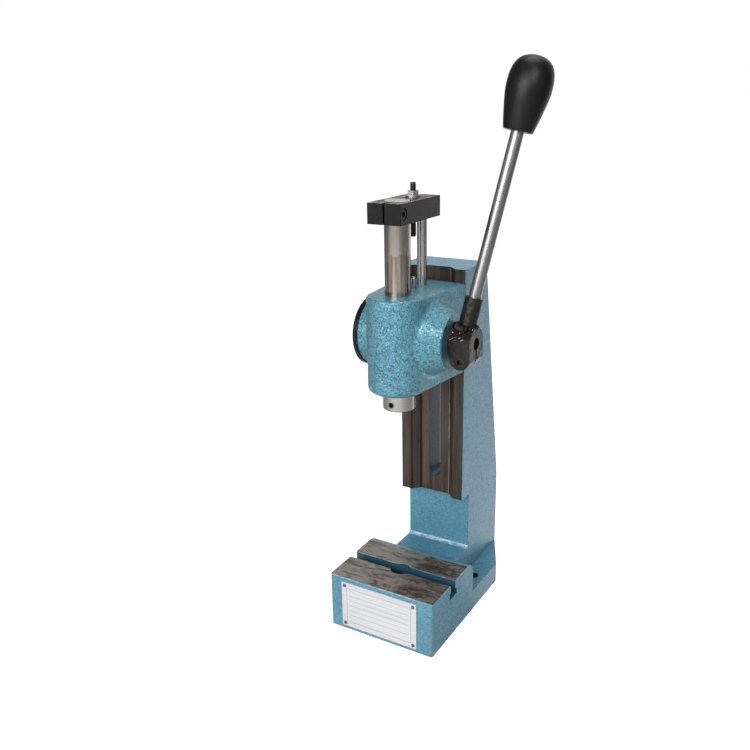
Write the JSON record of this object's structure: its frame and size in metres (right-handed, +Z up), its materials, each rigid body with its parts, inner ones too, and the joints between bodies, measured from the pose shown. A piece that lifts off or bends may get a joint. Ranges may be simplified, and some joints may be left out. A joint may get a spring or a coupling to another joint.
{
  "type": "manual riveting press",
  "caption": "Bench riveting press: cast column with T-slot table, height-set head, side lever with rack and pinion that drives a round ram down, guide rod and depth stop.",
  "frame": {"origin": "on the ram axis, at the underside of the base, centre of the table bore's bottom end", "axes": "+X towards the lever side, +Y to the back where the column stands, +Z up along the ram"},
  "size_m": [0.1798, 0.212, 0.5675],
  "materials": {
    "hammertone_paint": "glossy hammertone paint over cast iron",
    "ground_steel": "ground, lightly oiled",
    "drawn_steel": "bright drawn",
    "black_oxide": "black oxide with oil film",
    "black_paint": "satin black paint",
    "zinc_steel": "zinc plated",
    "spring_steel": "blued spring steel",
    "bronze": "plain bearing bronze",
    "black_plastic": "moulded, semi-gloss",
    "plate_aluminium": "plain sheet, matt"
  },
  "bodies": {
    "frame": {"frame_casting": "hammertone_paint", "name_plate": "plate_aluminium", "plate_rivets": "plate_aluminium"},
    "head": {"head_casting": "hammertone_paint", "shaft_bush_right": "bronze", "shaft_bush_left": "bronze", "thrust_washer": "black_oxide", "stop_pin": "drawn_steel", "spring_cover": "black_paint", "cover_screws": "black_oxide", "return_spring": "spring_steel", "spring_pin": "drawn_steel", "clamp_studs": "zinc_steel", "clamp_plate": "black_oxide", "clamp_nuts": "zinc_steel"},
    "lever": {"pinion_shaft": "ground_steel", "lever_hub": "black_oxide", "hub_screw": "black_oxide", "lever_rod": "drawn_steel", "lever_knob": "black_plastic"},
    "ram_set": {"ram": "ground_steel", "ram_collar": "ground_steel", "collar_screw": "black_oxide", "top_block": "black_oxide", "block_screw": "black_oxide", "guide_rod": "ground_steel", "stop_nut": "zinc_steel"},
    "stop": {"stop_stud": "black_oxide"}
  },
  "joints": [
    {"name": "head_height", "type": "slide", "parent": "frame", "child": "head", "axis": [0, 0, 1], "range_m": [-0.13, 0.01]},
    {"name": "lever_turn", "type": "hinge", "parent": "head", "child": "lever", "pos_m": [0, 0.023, 0.3122], "axis": [1, 0, 0], "range_deg": [0, 138.5], "stiffness_Nm_per_rad": 0.4, "springref_deg": -45.84},
    {"name": "ram_slide", "type": "slide", "parent": "head", "child": "ram_set", "axis": [0, 0, -1], "range_m": [0, 0.0387]},
    {"name": "stop_height", "type": "slide", "parent": "ram_set", "child": "stop", "axis": [0, 0, 1], "range_m": [0, 0.008]}
  ],
  "couplings": [
    {"joint": "ram_slide", "follows": "lever_turn", "m_per_rad": 0.016}
  ]
}
